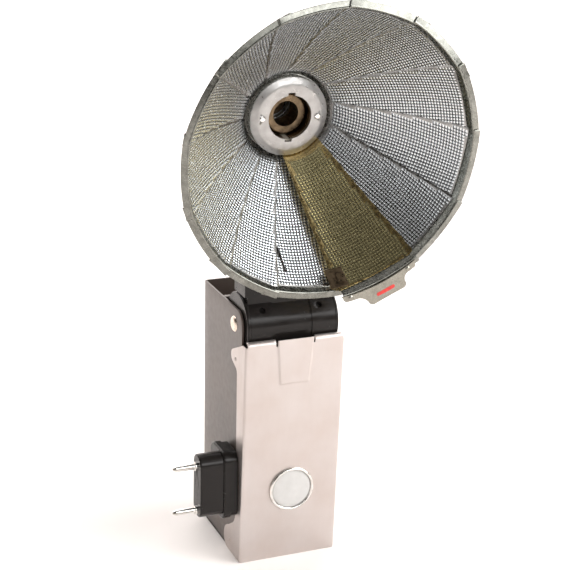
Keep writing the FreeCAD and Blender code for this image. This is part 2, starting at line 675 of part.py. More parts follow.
def petal_edge(radius, side):
    """A point of a petal's straight side edge, in plan, at a radius from the hub's axis."""
    along = math.sqrt(radius ** 2 - PETAL_EDGE_OFFSET ** 2)
    angle = math.radians(PETAL_EDGE_DEG)
    x = along * math.cos(angle) - PETAL_EDGE_OFFSET * math.sin(angle)
    y = along * math.sin(angle) + PETAL_EDGE_OFFSET * math.cos(angle)
    return V(x, side * y, -10)


def petal_sheet():
    """The pressed sheet all petals share: a dished wall between a hub ring and a flat lip."""
    lip_r = PETAL_CORNER_R + 1
    first = (PETAL_BORE_R, PETAL_PROFILE[0][1])
    last = (lip_r, PETAL_PROFILE[-1][1])
    front = [first] + PETAL_PROFILE + [last]
    back = [(r, z) for r, z in reversed(front)]
    section = [V(r, 0, z + PETAL_T) for r, z in front] + [V(r, 0, z) for r, z in back]
    return Part.Face(polygon(section)).revolve(ORIGIN, Z_AXIS, 360)


def petal_plan():
    """The petal seen along the hub's axis: straight sides and a slightly bowed rim."""
    depth = V(0, 0, 70)
    low_in, high_in = petal_edge(9.0, -1), petal_edge(9.0, 1)
    low_out, high_out = petal_edge(PETAL_CORNER_R, -1), petal_edge(PETAL_CORNER_R, 1)
    crown = V(low_out.x + PETAL_RIM_BULGE, 0, -10)
    wire = Part.Wire([line(high_in, low_in), line(low_in, low_out), arc(low_out, crown, high_out),
                      line(high_out, high_in)])
    return plate(wire, depth).fuse(rod(V(0, 0, -10), Z_AXIS, PETAL_RING_R, 70))


def plain_petal():
    return petal_sheet().common(petal_plan())


def petal(index, blank):
    """One petal in place; the first has the slot that the last one's latch finds."""
    shape = blank.copy()
    if index == 0:
        slot = box(38.5, 47.0, -0.45, 0.45, 0, 60)
        slot.rotate(V(42.5, 0, 0), Z_AXIS, 14)
        slot.translate(V(0, -5.2, 0))
        shape = shape.cut(slot)
    shape.translate(V(0, 0, petal_height(index)))
    return head(turned(shape, PETAL_MIDDLE_DEG[index]))


def tab_face():
    return PETAL_PROFILE[-1][1] + petal_height(PETAL_COUNT - 1) + PETAL_T


def polar(radius, degrees, z):
    angle = math.radians(degrees)
    return V(radius * math.cos(angle), radius * math.sin(angle), z)


def pull_tab():
    z = tab_face()

    def p(radius, degrees):
        return polar(radius, -degrees, z)

    wire = Part.Wire([
        arc(p(TAB_IN_R, 49.5), p(TAB_IN_R, 66), p(TAB_IN_R, 82.5)),
        line(p(TAB_IN_R, 82.5), p(TAB_BAND_R, 81.0)),
        arc(p(TAB_BAND_R, 81.0), p(TAB_BAND_R, 78.5), p(TAB_BAND_R, 75.8)),
        arc(p(TAB_BAND_R, 75.8), p(54.6, 73.6), p(56.6, 72.2)),
        arc(p(56.6, 72.2), p(57.9, 71.2), p(TAB_OUT_R, 69.6)),
        arc(p(TAB_OUT_R, 69.6), p(TAB_OUT_R - 0.3, 64.0), p(TAB_OUT_R, 58.8)),
        arc(p(TAB_OUT_R, 58.8), p(57.6, 57.5), p(56.3, 57.0)),
        arc(p(56.3, 57.0), p(54.4, 56.4), p(TAB_BAND_R, 55.0)),
        arc(p(TAB_BAND_R, 55.0), p(TAB_BAND_R, 53.0), p(TAB_BAND_R, 51.0)),
        line(p(TAB_BAND_R, 51.0), p(TAB_IN_R, 49.5)),
    ])
    tab = plate(wire, V(0, 0, TAB_T))
    for radius, degrees in RIVET_SPOTS:
        tab = tab.cut(rod(polar(radius, degrees, z - 1), Z_AXIS, RIVET_R, 3))
    return head(tab)


def tab_rivets():
    z = tab_face()
    made = []
    for radius, degrees in RIVET_SPOTS:
        shank = rod(polar(radius, degrees, z), Z_AXIS, RIVET_R, TAB_T)
        crown = Part.makeCone(1.0, RIVET_R, 0.35, polar(radius, degrees, z + TAB_T))
        made.append(head(shank.fuse(crown).removeSplitter()))
    return made


def latch_patch(r0, r1, first_deg, last_deg, rise, thick):
    """A patch that lies on the last petal's front face."""
    def height(radius):
        for (ra, za), (rb, zb) in zip(PETAL_PROFILE, PETAL_PROFILE[1:]):
            if ra <= radius <= rb:
                return za + (zb - za) * (radius - ra) / (rb - ra)
        return PETAL_PROFILE[-1][1]

    base = petal_height(PETAL_COUNT - 1) + PETAL_T + rise
    knees = [r0] + [r for r, _ in PETAL_PROFILE if r0 < r < r1] + [r1]
    low = [V(r, 0, height(r) + base) for r in knees]
    high = [V(r, 0, height(r) + base + thick) for r in reversed(knees)]
    patch = Part.Face(polygon(low + high)).revolve(ORIGIN, Z_AXIS, last_deg - first_deg)
    return head(turned(patch, first_deg))


def latch_clip():
    return latch_patch(44.6, 48.9, -85.5, -77.5, 0, LATCH_T)


def latch_rivet():
    return latch_patch(45.6, 47.9, -81.6, -78.8, LATCH_T, 0.4)


# ---- write every node ---------------------------------------------------------------
save("case_shell", case_shell())
save("head_stop_bar", stop_bar())
save("hinge_pin", hinge_pin())
save("battery", battery())
save("battery_cradle", battery_cradle())
save("battery_contact_low", contact_leaf(CRADLE_FLOOR_Z, BATTERY_Z[0]))
save("battery_contact_high", contact_leaf(CRADLE_ROOF_Z, BATTERY_Z[1] + BATTERY_STUD_H))
save("capacitor", capacitor())
save("resistor", resistor())
save("terminal_board", terminal_board())
save("terminal_eyelets", *eyelets())
save("detent_spring", detent_spring())
save("plug_base", plug_base())
save("plug_body", plug_body())
save("plug_pin_lower", plug_pin(PLUG_PIN_Z[0]))
save("plug_pin_upper", plug_pin(PLUG_PIN_Z[1]))
save("plug_screw", plug_screw())
save("front_cover", front_cover())
save("badge_ring", badge_ring())
save("badge_disc", badge_disc())
save("head_moulding", head_moulding())
save("barrel_end_left", barrel_end(-1))
save("barrel_end_right", barrel_end(1))
save("barrel_screws", *barrel_screws())
save("fan_axle", fan_axle())
save("face_ring", face_ring())
save("face_screws", *face_screws())
save("wave_washer", wave_washer())
save("lamp_socket", lamp_socket())
save("socket_insulator", socket_insulator())
save("mini_collar", mini_collar())
save("collar_spring", collar_spring())
save("contact_plunger", contact_plunger())
save("contact_spring", contact_spring())
save("rear_cap", rear_cap())
save("cap_screws", *cap_screws())
blank_petal = plain_petal()
for number in range(PETAL_COUNT):
    save("petal_%02d" % (number + 1), petal(number, blank_petal))
save("pull_tab", pull_tab())
save("tab_rivets", *tab_rivets())
save("latch_clip", latch_clip())
save("latch_rivet", latch_rivet())
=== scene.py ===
import json
import math

import bmesh
import bpy
from mathutils import Matrix, Vector


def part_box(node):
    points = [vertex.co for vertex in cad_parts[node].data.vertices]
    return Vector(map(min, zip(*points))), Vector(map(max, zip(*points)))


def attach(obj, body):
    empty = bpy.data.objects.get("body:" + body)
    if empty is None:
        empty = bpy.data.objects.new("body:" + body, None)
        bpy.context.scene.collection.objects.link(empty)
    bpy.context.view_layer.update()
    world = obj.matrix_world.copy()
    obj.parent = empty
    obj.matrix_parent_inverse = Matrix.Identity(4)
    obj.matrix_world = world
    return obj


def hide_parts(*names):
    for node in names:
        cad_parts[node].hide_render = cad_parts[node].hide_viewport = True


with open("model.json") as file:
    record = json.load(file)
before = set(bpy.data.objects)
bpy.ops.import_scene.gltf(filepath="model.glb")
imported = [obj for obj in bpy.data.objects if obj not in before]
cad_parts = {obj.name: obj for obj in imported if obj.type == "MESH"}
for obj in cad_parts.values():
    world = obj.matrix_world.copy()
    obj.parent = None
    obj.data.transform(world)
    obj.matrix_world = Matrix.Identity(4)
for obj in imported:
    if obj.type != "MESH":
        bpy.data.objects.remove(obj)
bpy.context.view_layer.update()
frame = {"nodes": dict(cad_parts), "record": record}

# Looks for the folding-fan flash gun. Lengths are in millimetres here and are turned into
# metres when a mesh is made; points that belong to the tilting head are given about the
# hub's own axis, with +Z out of the reflector, and placed with HEAD.

MM = 0.001
nodes = frame["nodes"]
joints = {j["name"]: j for j in frame["record"]["behaviour"]["joints"]}
couplings = {c["joint"]: c["ratio"] for c in frame["record"]["behaviour"]["couplings"]}


# ---- frame of the head --------------------------------------------------------------
def head_matrix():
    """Turns points about the hub's axis into points of the whole object, in millimetres."""
    fan = joints["fan_close"]
    axis = Vector(fan["axis"]).normalized()
    across = Vector((1, 0, 0))
    up = axis.cross(across)
    matrix = Matrix((across, up, axis)).transposed().to_4x4()
    matrix.translation = Vector(fan["pos_m"]) / MM
    return matrix


HEAD = head_matrix()


# ---- mesh helpers -------------------------------------------------------------------
def make_object(name, verts, faces, matrix=Matrix.Identity(4), smooth=True):
    """A mesh object from points in millimetres."""
    mesh = bpy.data.meshes.new(name)
    mesh.from_pydata([matrix @ Vector(v) * MM for v in verts], [], faces)
    mesh.validate()
    mesh.polygons.foreach_set("use_smooth", [smooth] * len(mesh.polygons))
    obj = bpy.data.objects.new(name, mesh)
    bpy.context.scene.collection.objects.link(obj)
    return obj


def tidy_mesh(obj, distance=0.002):
    """Merges doubled points, and drops faces with no area and points without a face."""
    work = bmesh.new()
    work.from_mesh(obj.data)
    bmesh.ops.remove_doubles(work, verts=work.verts, dist=distance * MM)
    bmesh.ops.dissolve_degenerate(work, edges=work.edges, dist=distance * MM * 0.5)
    loose = [v for v in work.verts if not v.link_faces]
    bmesh.ops.delete(work, geom=loose, context="VERTS")
    work.to_mesh(obj.data)
    work.free()
    return obj


def recalc(obj):
    """Turns a closed mesh's faces outwards."""
    work = bmesh.new()
    work.from_mesh(obj.data)
    bmesh.ops.recalc_face_normals(work, faces=work.faces)
    work.to_mesh(obj.data)
    work.free()
    return obj


def turn_outward(obj, point, outward):
    """Turns an open sheet's faces one way, so that the one nearest to point looks along outward."""
    work = bmesh.new()
    work.from_mesh(obj.data)
    bmesh.ops.recalc_face_normals(work, faces=work.faces)
    nearest = min(work.faces, key=lambda face: (face.calc_center_median() - Vector(point) * MM).length)
    if nearest.normal.dot(Vector(outward)) < 0:
        bmesh.ops.reverse_faces(work, faces=work.faces)
    work.to_mesh(obj.data)
    work.free()


def grid_faces(rows, cols, closed=False, keep=None):
    """The four-sided faces of points laid out row by row; keep(row, col) says which stay."""
    faces = []
    for i in range(rows - 1):
        for j in range(cols if closed else cols - 1):
            if keep and not keep(i, j):
                continue
            k = (j + 1) % cols
            faces.append((i * cols + j, i * cols + k, (i + 1) * cols + k, (i + 1) * cols + j))
    return faces


def lathe(name, profile, matrix, steps):
    """A closed solid turned about +Z from (radius, height) points; matrix places it."""
    verts = []
    for radius, height in profile:
        for step in range(steps):
            angle = 2 * math.pi * step / steps
            verts.append((radius * math.cos(angle), radius * math.sin(angle), height))
    faces = grid_faces(len(profile), steps, closed=True)
    obj = tidy_mesh(make_object(name, verts, faces, matrix))
    return recalc(obj)


def prism(name, outline, low, high, matrix=Matrix.Identity(4), smooth=True):
    """A closed solid between two heights, over an outline of (x, y) points."""
    count = len(outline)
    verts = [(x, y, z) for z in (low, high) for x, y in outline]
    faces = [tuple(reversed(range(count))), tuple(range(count, 2 * count))]
    faces += [(i, (i + 1) % count, count + (i + 1) % count, count + i) for i in range(count)]
    return recalc(make_object(name, verts, faces, matrix, smooth))


def add_modifier(obj, kind, **settings):
    modifier = obj.modifiers.new(kind.lower(), kind)
    for key, value in settings.items():
        setattr(modifier, key, value)


def bevel(obj, width, segments, angle):
    """Rounds the edges that bend by more than an angle in degrees."""
    add_modifier(obj, "BEVEL", width=width * MM, segments=segments, limit_method="ANGLE",
                 angle_limit=math.radians(angle), harden_normals=False)


def smooth_step(low, high, value):
    """0 at low, 1 at high, with soft ends; low may be the larger one."""
    t = min(1.0, max(0.0, (value - low) / (high - low)))
    return t * t * (3 - 2 * t)


def place(obj, body, slot_name, material, *replaced):
    """Gives a new piece its material or materials, its body and the CAD nodes it hides; slot_name is not
    used.
    """
    for entry in material if isinstance(material, (list, tuple)) else [material]:
        obj.data.materials.append(entry)
    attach(obj, body)
    if replaced:
        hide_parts(*replaced)


def join(name, parts):
    """Makes one object of several meshes."""
    verts, faces = [], []
    for part in parts:
        start = len(verts)
        verts += [v.co / MM for v in part.data.vertices]
        faces += [tuple(start + i for i in p.vertices) for p in part.data.polygons]
        bpy.data.objects.remove(part)
    return make_object(name, verts, faces)


# ---- materials ----------------------------------------------------------------------
class Shader:
    """A principled material and the small node chains that give it its detail."""

    def __init__(self, name, colour, roughness, metallic=0.0, **sockets):
        self.material = bpy.data.materials.new(name)
        self.material.use_nodes = True
        self.tree = self.material.node_tree
        self.surface = self.tree.nodes["Principled BSDF"]
        self.colour = colour
        self.surface.inputs["Base Color"].default_value = (*colour, 1)
        self.surface.inputs["Roughness"].default_value = roughness
        self.surface.inputs["Metallic"].default_value = metallic
        for key, value in sockets.items():
            self.surface.inputs[key.replace("_", " ")].default_value = value

    def node(self, kind, **inputs):
        made = self.tree.nodes.new(kind)
        for key, value in inputs.items():
            made.inputs[key.replace("_", " ")].default_value = value
        return made

    def link(self, a, b):
        self.tree.links.new(a, b)

    def noise(self, scale, detail, stretch=(1, 1, 1)):
        """Noise over the object, scale in features to the metre; a stretch below 1 draws it out."""
        place_node = self.node("ShaderNodeTexCoord")
        mapping = self.node("ShaderNodeMapping", Scale=stretch)
        noise = self.node("ShaderNodeTexNoise", Scale=scale, Detail=detail)
        self.link(place_node.outputs["Object"], mapping.inputs["Vector"])
        self.link(mapping.outputs["Vector"], noise.inputs["Vector"])
        return noise.outputs["Fac"]

    def spread(self, value, low, high, from_low=0.3, from_high=0.7):
        """Stretches a value between from_low and from_high to between low and high."""
        spread = self.node("ShaderNodeMapRange", From_Min=from_low, From_Max=from_high,
                           To_Min=low, To_Max=high)
        self.link(value, spread.inputs["Value"])
        return spread.outputs["Result"]

    def mix(self, factor, first, second):
        """Mixes two colours by a node's output; a colour may be a node's output too."""
        mix = self.tree.nodes.new("ShaderNodeMix")
        mix.data_type = "RGBA"
        # sockets 6 and 7 take the colours and 2 gives the mixed one; the others are for other types
        self.link(factor, mix.inputs[0])
        for socket, colour in ((mix.inputs[6], first), (mix.inputs[7], second)):
            if isinstance(colour, tuple):
                socket.default_value = (*colour, 1)
            else:
                self.link(colour, socket)
        return mix.outputs[2]

    def set_colour(self, output):
        self.link(output, self.surface.inputs["Base Color"])

    def vary_colour(self, other, value):
        self.set_colour(self.mix(self.spread(value, 0.0, 1.0), self.colour, other))
        return self

    def vary_roughness(self, value, low, high):
        self.link(self.spread(value, low, high), self.surface.inputs["Roughness"])
        return self

    def bump(self, value, distance, strength):
        """Fine relief on top of the modelled shape, its depth in millimetres."""
        bump = self.node("ShaderNodeBump", Strength=strength, Distance=distance * MM)
        self.link(value, bump.inputs["Height"])
        self.link(bump.outputs["Normal"], self.surface.inputs["Normal"])
        return self


def case_paint():
    shader = Shader("case_paint", (0.100, 0.074, 0.060), 0.32, Specular_IOR_Level=0.28, Coat_Weight=0.15,
                    Coat_Roughness=0.2)
    shader.vary_colour((0.082, 0.063, 0.054), shader.noise(40, 4))
    shader.vary_roughness(shader.noise(420, 4), 0.28, 0.38)
    return shader.bump(shader.noise(1600, 3), 0.008, 0.4).material


def cover_sheet():
    shader = Shader("cover_sheet", (0.535, 0.47, 0.44), 0.36, 0.85)
    shader.vary_colour((0.58, 0.53, 0.51), shader.noise(70, 5))
    shader.vary_roughness(shader.noise(500, 4, (1, 1, 0.3)), 0.33, 0.45)
    return shader.bump(shader.noise(3000, 3, (1, 1, 0.15)), 0.006, 0.5).material


def black_gloss():
    shader = Shader("black_gloss", (0.014, 0.012, 0.011), 0.20, Specular_IOR_Level=0.20)
    shader.vary_roughness(shader.noise(300, 5), 0.14, 0.28)
    return shader.bump(shader.noise(1400, 3), 0.006, 0.4).material


def chrome():
    shader = Shader("chrome", (0.80, 0.79, 0.77), 0.14, 1.0)
    shader.vary_colour((0.62, 0.59, 0.55), shader.noise(500, 4))
    return shader.vary_roughness(shader.noise(900, 4), 0.10, 0.26).material


def satin_metal():
    shader = Shader("satin_metal", (0.43, 0.42, 0.41), 0.34, 1.0)
    shader.vary_colour((0.33, 0.32, 0.31), shader.noise(260, 5))
    shader.vary_roughness(shader.noise(900, 4), 0.26, 0.42)
    return shader.bump(shader.noise(2600, 3), 0.010, 0.5).material


def brass():
    shader = Shader("brass", (0.20, 0.145, 0.09), 0.30, 1.0)
    shader.vary_colour((0.08, 0.058, 0.036), shader.noise(400, 5))
    return shader.vary_roughness(shader.noise(900, 4), 0.24, 0.45).material


def steel():
    shader = Shader("steel", (0.55, 0.54, 0.52), 0.28, 1.0)
    shader.vary_colour((0.40, 0.38, 0.36), shader.noise(500, 4))
    return shader.vary_roughness(shader.noise(1200, 3), 0.20, 0.40).material


def reflector(name, colour, groove):
    """Pressed reflector sheet: bright on the raised squares, with painted shade in the grooves between them.
    """
    shader = Shader(name, colour, 0.20, 0.90)
    emboss = shader.tree.nodes.new("ShaderNodeAttribute")
    emboss.attribute_name = "emboss"
    worn = shader.mix(shader.spread(shader.noise(120, 4), 0.0, 0.5), colour, tuple(c * 0.86 for c in colour))
    # where the pressed squares dip, the groove colour is mixed in as painted shade
    depth = shader.spread(emboss.outputs["Fac"], 0.0, 1.0, 0.22, 0.66)
    shader.set_colour(shader.mix(depth, groove, worn))
    return shader.vary_roughness(shader.noise(700, 4), 0.17, 0.28).material


def rim_metal(name, colour, dark):
    shader = Shader(name, colour, 0.24, 1.0)
    shader.vary_colour(dark, shader.noise(300, 5))
    return shader.vary_roughness(shader.noise(900, 4), 0.18, 0.34).material


def warm_rivet():
    shader = Shader("warm_rivet", (0.80, 0.68, 0.58), 0.22, 1.0)
    return shader.vary_roughness(shader.noise(900, 4), 0.16, 0.34).material


def enamel_white():
    shader = Shader("enamel_white", (0.55, 0.54, 0.525), 0.22, Coat_Weight=0.4, Coat_Roughness=0.1)
    return shader.vary_colour((0.50, 0.49, 0.475), shader.noise(300, 5)).material


def enamel_red():
    shader = Shader("enamel_red", (0.62, 0.03, 0.02), 0.30)
    return shader.vary_colour((0.45, 0.02, 0.02), shader.noise(900, 5)).material


def board(name, colour, dark, roughness):
    shader = Shader(name, colour, roughness)
    shader.vary_colour(dark, shader.noise(260, 6))
    return shader.bump(shader.noise(1500, 4), 0.02, 0.5).material


CASE_PAINT = case_paint()
COVER_SHEET = cover_sheet()
BLACK = black_gloss()
CHROME = chrome()
SATIN = satin_metal()
BRASS = brass()
STEEL = steel()
# the last colour of each reflector is painted shade for the grooves between the pressed squares
MESH_SILVER = reflector("mesh_silver", (0.89, 0.92, 0.94), (0.06, 0.063, 0.067))
MESH_GOLD = reflector("mesh_gold", (0.48, 0.42, 0.225), (0.25, 0.215, 0.11))
PLAIN_SILVER = rim_metal("plain_silver", (0.44, 0.43, 0.42), (0.28, 0.275, 0.265))
PLAIN_GOLD = rim_metal("plain_gold", (0.54, 0.41, 0.18), (0.37, 0.28, 0.13))
RIM = rim_metal("rim", (0.27, 0.27, 0.245), (0.17, 0.17, 0.15))
TAB = rim_metal("tab", (0.30, 0.29, 0.25), (0.22, 0.21, 0.18))
RIVET = warm_rivet()
WHITE = enamel_white()
RED = enamel_red()
BOARD = board("board", (0.22, 0.12, 0.06), (0.14, 0.08, 0.04), 0.6)
WRAP = board("wrap", (0.12, 0.16, 0.24), (0.09, 0.12, 0.18), 0.45)
CERAMIC = board("ceramic", (0.55, 0.50, 0.42), (0.42, 0.38, 0.31), 0.55)

# the CAD's own pieces that stay in view
NODE_MATERIALS = {
    "head_stop_bar": CASE_PAINT, "battery": WRAP, "battery_cradle": BOARD, "battery_contact_low": STEEL,
    "battery_contact_high": STEEL, "capacitor": SATIN, "resistor": BOARD, "terminal_board": BOARD,
    "terminal_eyelets": BRASS, "detent_spring": STEEL, "plug_base": BLACK, "plug_body": BLACK,
    "plug_pin_lower": CHROME, "plug_pin_upper": CHROME, "plug_screw": CHROME, "head_moulding": BLACK,
    "barrel_end_left": BLACK, "barrel_end_right": BLACK, "barrel_screws": BLACK, "fan_axle": SATIN,
    "face_ring": SATIN, "face_screws": CHROME, "wave_washer": STEEL, "lamp_socket": BRASS,
    "socket_insulator": CERAMIC, "mini_collar": BRASS, "collar_spring": STEEL, "contact_plunger": BRASS,
    "contact_spring": STEEL, "rear_cap": BLACK, "cap_screws": CHROME, "tab_rivets": TAB, "latch_rivet": BRASS,
    "pull_tab": TAB, "latch_clip": BRASS,
}
for node_name, node_material in NODE_MATERIALS.items():
    node_mesh = nodes[node_name].data
    node_mesh.materials.clear()
    node_mesh.materials.append(node_material)


# ---- reflector petals ---------------------------------------------------------------
# A petal is drawn with u along its middle line, v across it and its height along the head's axis.
PETAL_COUNT = 13
PETAL_PITCH = 0.36
PETAL_SHEET = 0.24
FIRST_PETAL_DEG = -97.0
EDGE_SLOPE = math.tan(math.radians(12.8))
EDGE_START = 3.6 / math.cos(math.radians(12.8))
GRID_HALF_WIDTH = 16.0
SLOPE_REACH = 0.05
SKIN_T = 0.07
RIM_CORNER = (50.96, 15.27)
RIM_CROWN_U = 52.56
FLANGE_Z = 38.9
RING_INNER_R = 12.95
RING_OUTER_R = 14.55
RING_STEPS = 72
# radius and height of the sheet's back in the middle petal of the stack
PROFILE = [(14.8, -4.4), (16.8, -1.3), (20.0, 2.2), (25.0, 7.1), (30.0, 12.3), (35.0, 17.8), (40.0, 23.8),
           (45.0, 30.3), (49.1, 36.1)]

# the pressed squares, and the plain hem round them
CELL = 1.1
CELL_STEPS = 4
EMBOSS_H = 0.14
EMBOSS_DROP = 0.11
PLAIN_LEVEL = 0.62
FREE_BORDER = 1.05
COVERED_BORDER = 0.35
GOLD_BORDER = 1.7
RIM_BORDER = 0.4
PLAIN_HUB_R = 16.6
HEM_DROP = 0.20
HEM_WIDTH = 0.65

# the lip across: distance out from the end of the sheet, and share of the way up to LIP_TOP
LIP_WIDTH = 3.45
LIP_TOP = FLANGE_Z + 0.19
LIP_STEPS = 36
LIP_SECTION = [(0.0, 0.0), (0.25, 0.25), (0.55, 0.62), (0.80, 0.96), (0.98, 1.05), (1.18, 1.09), (1.38, 1.05),
               (1.50, 0.98), (1.60, 0.95), (LIP_WIDTH - 0.15, 0.95), (LIP_WIDTH, 0.90)]

# the latch slot in the first petal
SLOT_START = Vector((39.6, -5.9))
SLOT_END = Vector((45.8, -4.3))
SLOT_HALF_W = 0.42

# material slots of a petal
MESH_SLOT, RIM_SLOT, BORDER_SLOT = range(3)


def profile_height(radius):
    """The sheet's height at a radius: a smooth curve through PROFILE."""
    last = len(PROFILE) - 1
    index = 0
    while index < last - 1 and radius > PROFILE[index + 1][0]:
        index += 1
    (r1, z1), (r2, z2) = PROFILE[index], PROFILE[index + 1]
    r0, z0 = PROFILE[max(index - 1, 0)]
    r3, z3 = PROFILE[min(index + 2, last)]
    slope1 = (z2 - z0) / (r2 - r0)
    slope2 = (z3 - z1) / (r3 - r1)
    gap = r2 - r1
    t = (radius - r1) / gap
    if t > 1:
        return z2 + (radius - r2) * slope2
    return ((2 * t ** 3 - 3 * t ** 2 + 1) * z1 + (t ** 3 - 2 * t ** 2 + t) * gap * slope1
            + (3 * t ** 2 - 2 * t ** 3) * z2 + (t ** 3 - t ** 2) * gap * slope2)


def arc_table(start, end, step=0.25):
    """Pairs (length along the profile, radius)."""
    table = [(0.0, start)]
    radius = start
    length = 0.0
    while radius < end:
        further = min(radius + step, end)
        length += math.hypot(further - radius, profile_height(further) - profile_height(radius))
        radius = further
        table.append((length, radius))
    return table


# the sheet's outer corners stay within this radius
SHEET_REACH_R = 51.0
ARC_TABLE = arc_table(PROFILE[0][0], SHEET_REACH_R)


def radius_at(length):
    """The radius reached after a length along the profile."""
    for (l0, r0), (l1, r1) in zip(ARC_TABLE, ARC_TABLE[1:]):
        if l0 <= length <= l1:
            return r0 + (r1 - r0) * (length - l0) / (l1 - l0)
    return ARC_TABLE[-1][1]


def half_width(distance):
    """Half a petal's width at a distance from the axis, between its straight edges."""
    return EDGE_START + EDGE_SLOPE * distance


def rim_u(v):
    """Where the petal's bowed outer edge is, along its middle line."""
    corner_u, corner_v = RIM_CORNER
    bulge = RIM_CROWN_U - corner_u
    radius = (corner_v ** 2 + bulge ** 2) / (2 * bulge)
    return RIM_CROWN_U - radius + math.sqrt(max(radius ** 2 - v ** 2, 0))


def petal_lift(index):
    """A petal's height in the stack, from the middle petal's."""
    return (index - (PETAL_COUNT - 1) / 2) * PETAL_PITCH


def petal_middle(index):
    """The angle of a petal's middle line, anticlockwise from the object's right."""
    if index == 0:
        return FIRST_PETAL_DEG
    ratio = 1.0 if index == PETAL_COUNT - 1 else couplings["fan_follow_%02d" % (index + 1)]
    return FIRST_PETAL_DEG - ratio * joints["fan_close"]["range_deg"][1]


def is_embossed(row, col, golden):
    """Whether a square is pressed: the hem, the hub end and the rim end stay plain."""
    radius = radius_at((row + 0.5) * CELL)
    v = col * CELL
    edge = half_width(radius)
    free_border = GOLD_BORDER if golden else FREE_BORDER
    covered_border = GOLD_BORDER if golden else COVERED_BORDER
    to_rim = rim_u(v) - LIP_WIDTH - math.sqrt(max(radius ** 2 - v ** 2, 0))
    clear_of_sides = edge - v > free_border and edge + v > covered_border
    return clear_of_sides and to_rim > RIM_BORDER and radius > PLAIN_HUB_R


def raised_point(u, v, lift, base):
    """The point of the sheet at (u, v), moved out by lift along the surface's normal."""
    radius = math.hypot(u, v)
    slope = (profile_height(radius + SLOPE_REACH) - profile_height(radius - SLOPE_REACH)) / (2 * SLOPE_REACH)
    steepness = math.hypot(1, slope)
    share = (radius - lift * slope / steepness) / max(radius, 0.001)
    return u * share, v * share, profile_height(radius) + base + lift / steepness


def petal_blade(index, golden):
    """The embossed sheet: a fine grid along and across the petal, clamped to its edges."""
    quarter = CELL / CELL_STEPS
    rows = int(ARC_TABLE[-1][0] / quarter) + 1
    half_cols = int(GRID_HALF_WIDTH / quarter)
    base = petal_lift(index) + PETAL_SHEET
    verts, emboss = [], []
    for i in range(rows):
        length = i * quarter
        radius = radius_at(length)
        edge = half_width(radius)
        for j in range(-half_cols, half_cols + 1):
            v = max(-edge, min(edge, j * quarter))
            u = math.sqrt(radius ** 2 - v ** 2) if abs(v) < radius else 0.0
            u = min(u, rim_u(v) - LIP_WIDTH)
            rise = PLAIN_LEVEL
            if is_embossed(math.floor(length / CELL), math.floor((j * quarter + CELL / 2) / CELL), golden):
                rise = math.sqrt(abs(math.sin(math.pi * length / CELL) * math.cos(math.pi * v / CELL)))
            emboss.append(rise)
            to_free_edge = edge - (abs(v) if golden else v)
            hem = HEM_DROP * smooth_step(HEM_WIDTH, 0.0, to_free_edge)
            verts.append(raised_point(u, v, rise * EMBOSS_H - EMBOSS_DROP - hem, base))
    return verts, emboss, grid_faces(rows, 2 * half_cols + 1)


def petal_lip(index):
    """The groove, bead and flat flange along the petal's outer edge."""
    base = petal_lift(index) + PETAL_SHEET
    verts = []
    for j in range(LIP_STEPS + 1):
        v = (2 * j / LIP_STEPS - 1) * RIM_CORNER[1]
        sheet_end = rim_u(v) - LIP_WIDTH
        start = profile_height(math.hypot(sheet_end, v)) - EMBOSS_DROP + PLAIN_LEVEL * EMBOSS_H
        for offset, rise in LIP_SECTION:
            u = sheet_end + offset
            edge = half_width(u)
            verts.append((u, max(-edge, min(edge, v)), base + start + (LIP_TOP - start) * rise))
    return verts, grid_faces(LIP_STEPS + 1, len(LIP_SECTION))


def petal_ring(index):
    """The petal's eye, which turns on the axle."""
    low = PROFILE[0][1] + petal_lift(index)
    high = low + PETAL_SHEET
    section = [(RING_INNER_R, low), (RING_OUTER_R, low), (RING_OUTER_R, high), (RING_INNER_R, high),
               (RING_INNER_R, low)]
    verts = []
    for radius, height in section:
        for step in range(RING_STEPS):
            angle = 2 * math.pi * step / RING_STEPS
            verts.append((radius * math.cos(angle), radius * math.sin(angle), height))
    return verts, grid_faces(len(section), RING_STEPS, closed=True)


def cut_slot(work, turn):
    """Opens the latch slot in the first petal."""
    inverse = turn.inverted()
    axis = (SLOT_END - SLOT_START).normalized()
    doomed = []
    for face in work.faces:
        centre = inverse @ (face.calc_center_median() / MM)
        offset = centre.to_2d() - SLOT_START
        along = offset.dot(axis)
        across = abs(offset.x * axis.y - offset.y * axis.x)
        if 0 < along < (SLOT_END - SLOT_START).length and across < SLOT_HALF_W:
            doomed.append(face)
    bmesh.ops.delete(work, geom=doomed, context="FACES")


def add_rim_parts(work, layer, turn, index):
    """Adds the lip and the eye to the blade's mesh."""
    for verts, faces in (petal_lip(index), petal_ring(index)):
        made = [work.verts.new(turn @ Vector(v) * MM) for v in verts]
        for vert in made:
            vert[layer] = 1.0
        for face in faces:
            created = work.faces.new([made[i] for i in face])
            created.material_index = RIM_SLOT
            created.smooth = True


